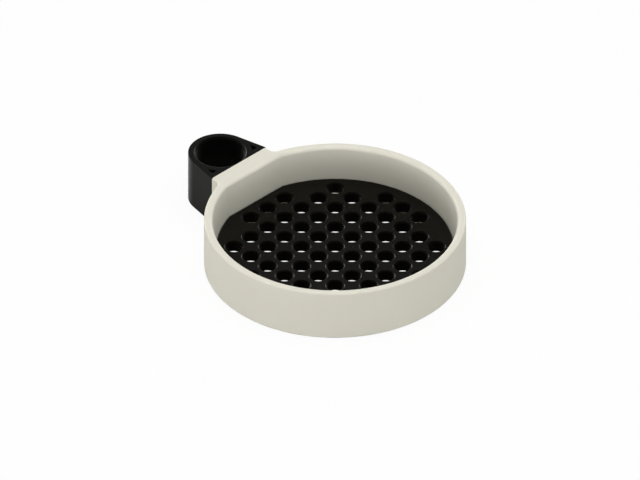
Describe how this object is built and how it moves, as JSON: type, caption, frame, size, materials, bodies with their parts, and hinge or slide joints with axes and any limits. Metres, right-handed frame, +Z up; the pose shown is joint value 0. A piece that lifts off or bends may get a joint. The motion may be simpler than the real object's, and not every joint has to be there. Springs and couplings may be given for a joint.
{
  "type": "shower rail soap dish",
  "caption": "Round soap dish with a perforated drain tray lying on an inner ledge, lifted off a collar that slides over a shower rail.",
  "frame": {"origin": "on the axis of the rail bore, level with the flat underside", "axes": "+Z up along the rail, +Y from the dish towards the rail, X across"},
  "size_m": [0.11, 0.1366, 0.023],
  "materials": {
    "ivory_plastic": "satin ivory moulded plastic",
    "tray_black_plastic": "satin black moulded plastic",
    "collar_black_plastic": "satin black moulded plastic"
  },
  "bodies": {
    "collar": {"rail_collar": "collar_black_plastic"},
    "dish": {"dish_shell": "ivory_plastic"},
    "tray": {"drain_tray": "tray_black_plastic"}
  },
  "joints": [
    {"name": "dish_lift", "type": "slide", "parent": "collar", "child": "dish", "axis": [0, 0, 1], "range_m": [0, 0.025]},
    {"name": "tray_lift", "type": "slide", "parent": "dish", "child": "tray", "axis": [0, 0, 1], "range_m": [0, 0.025]}
  ]
}
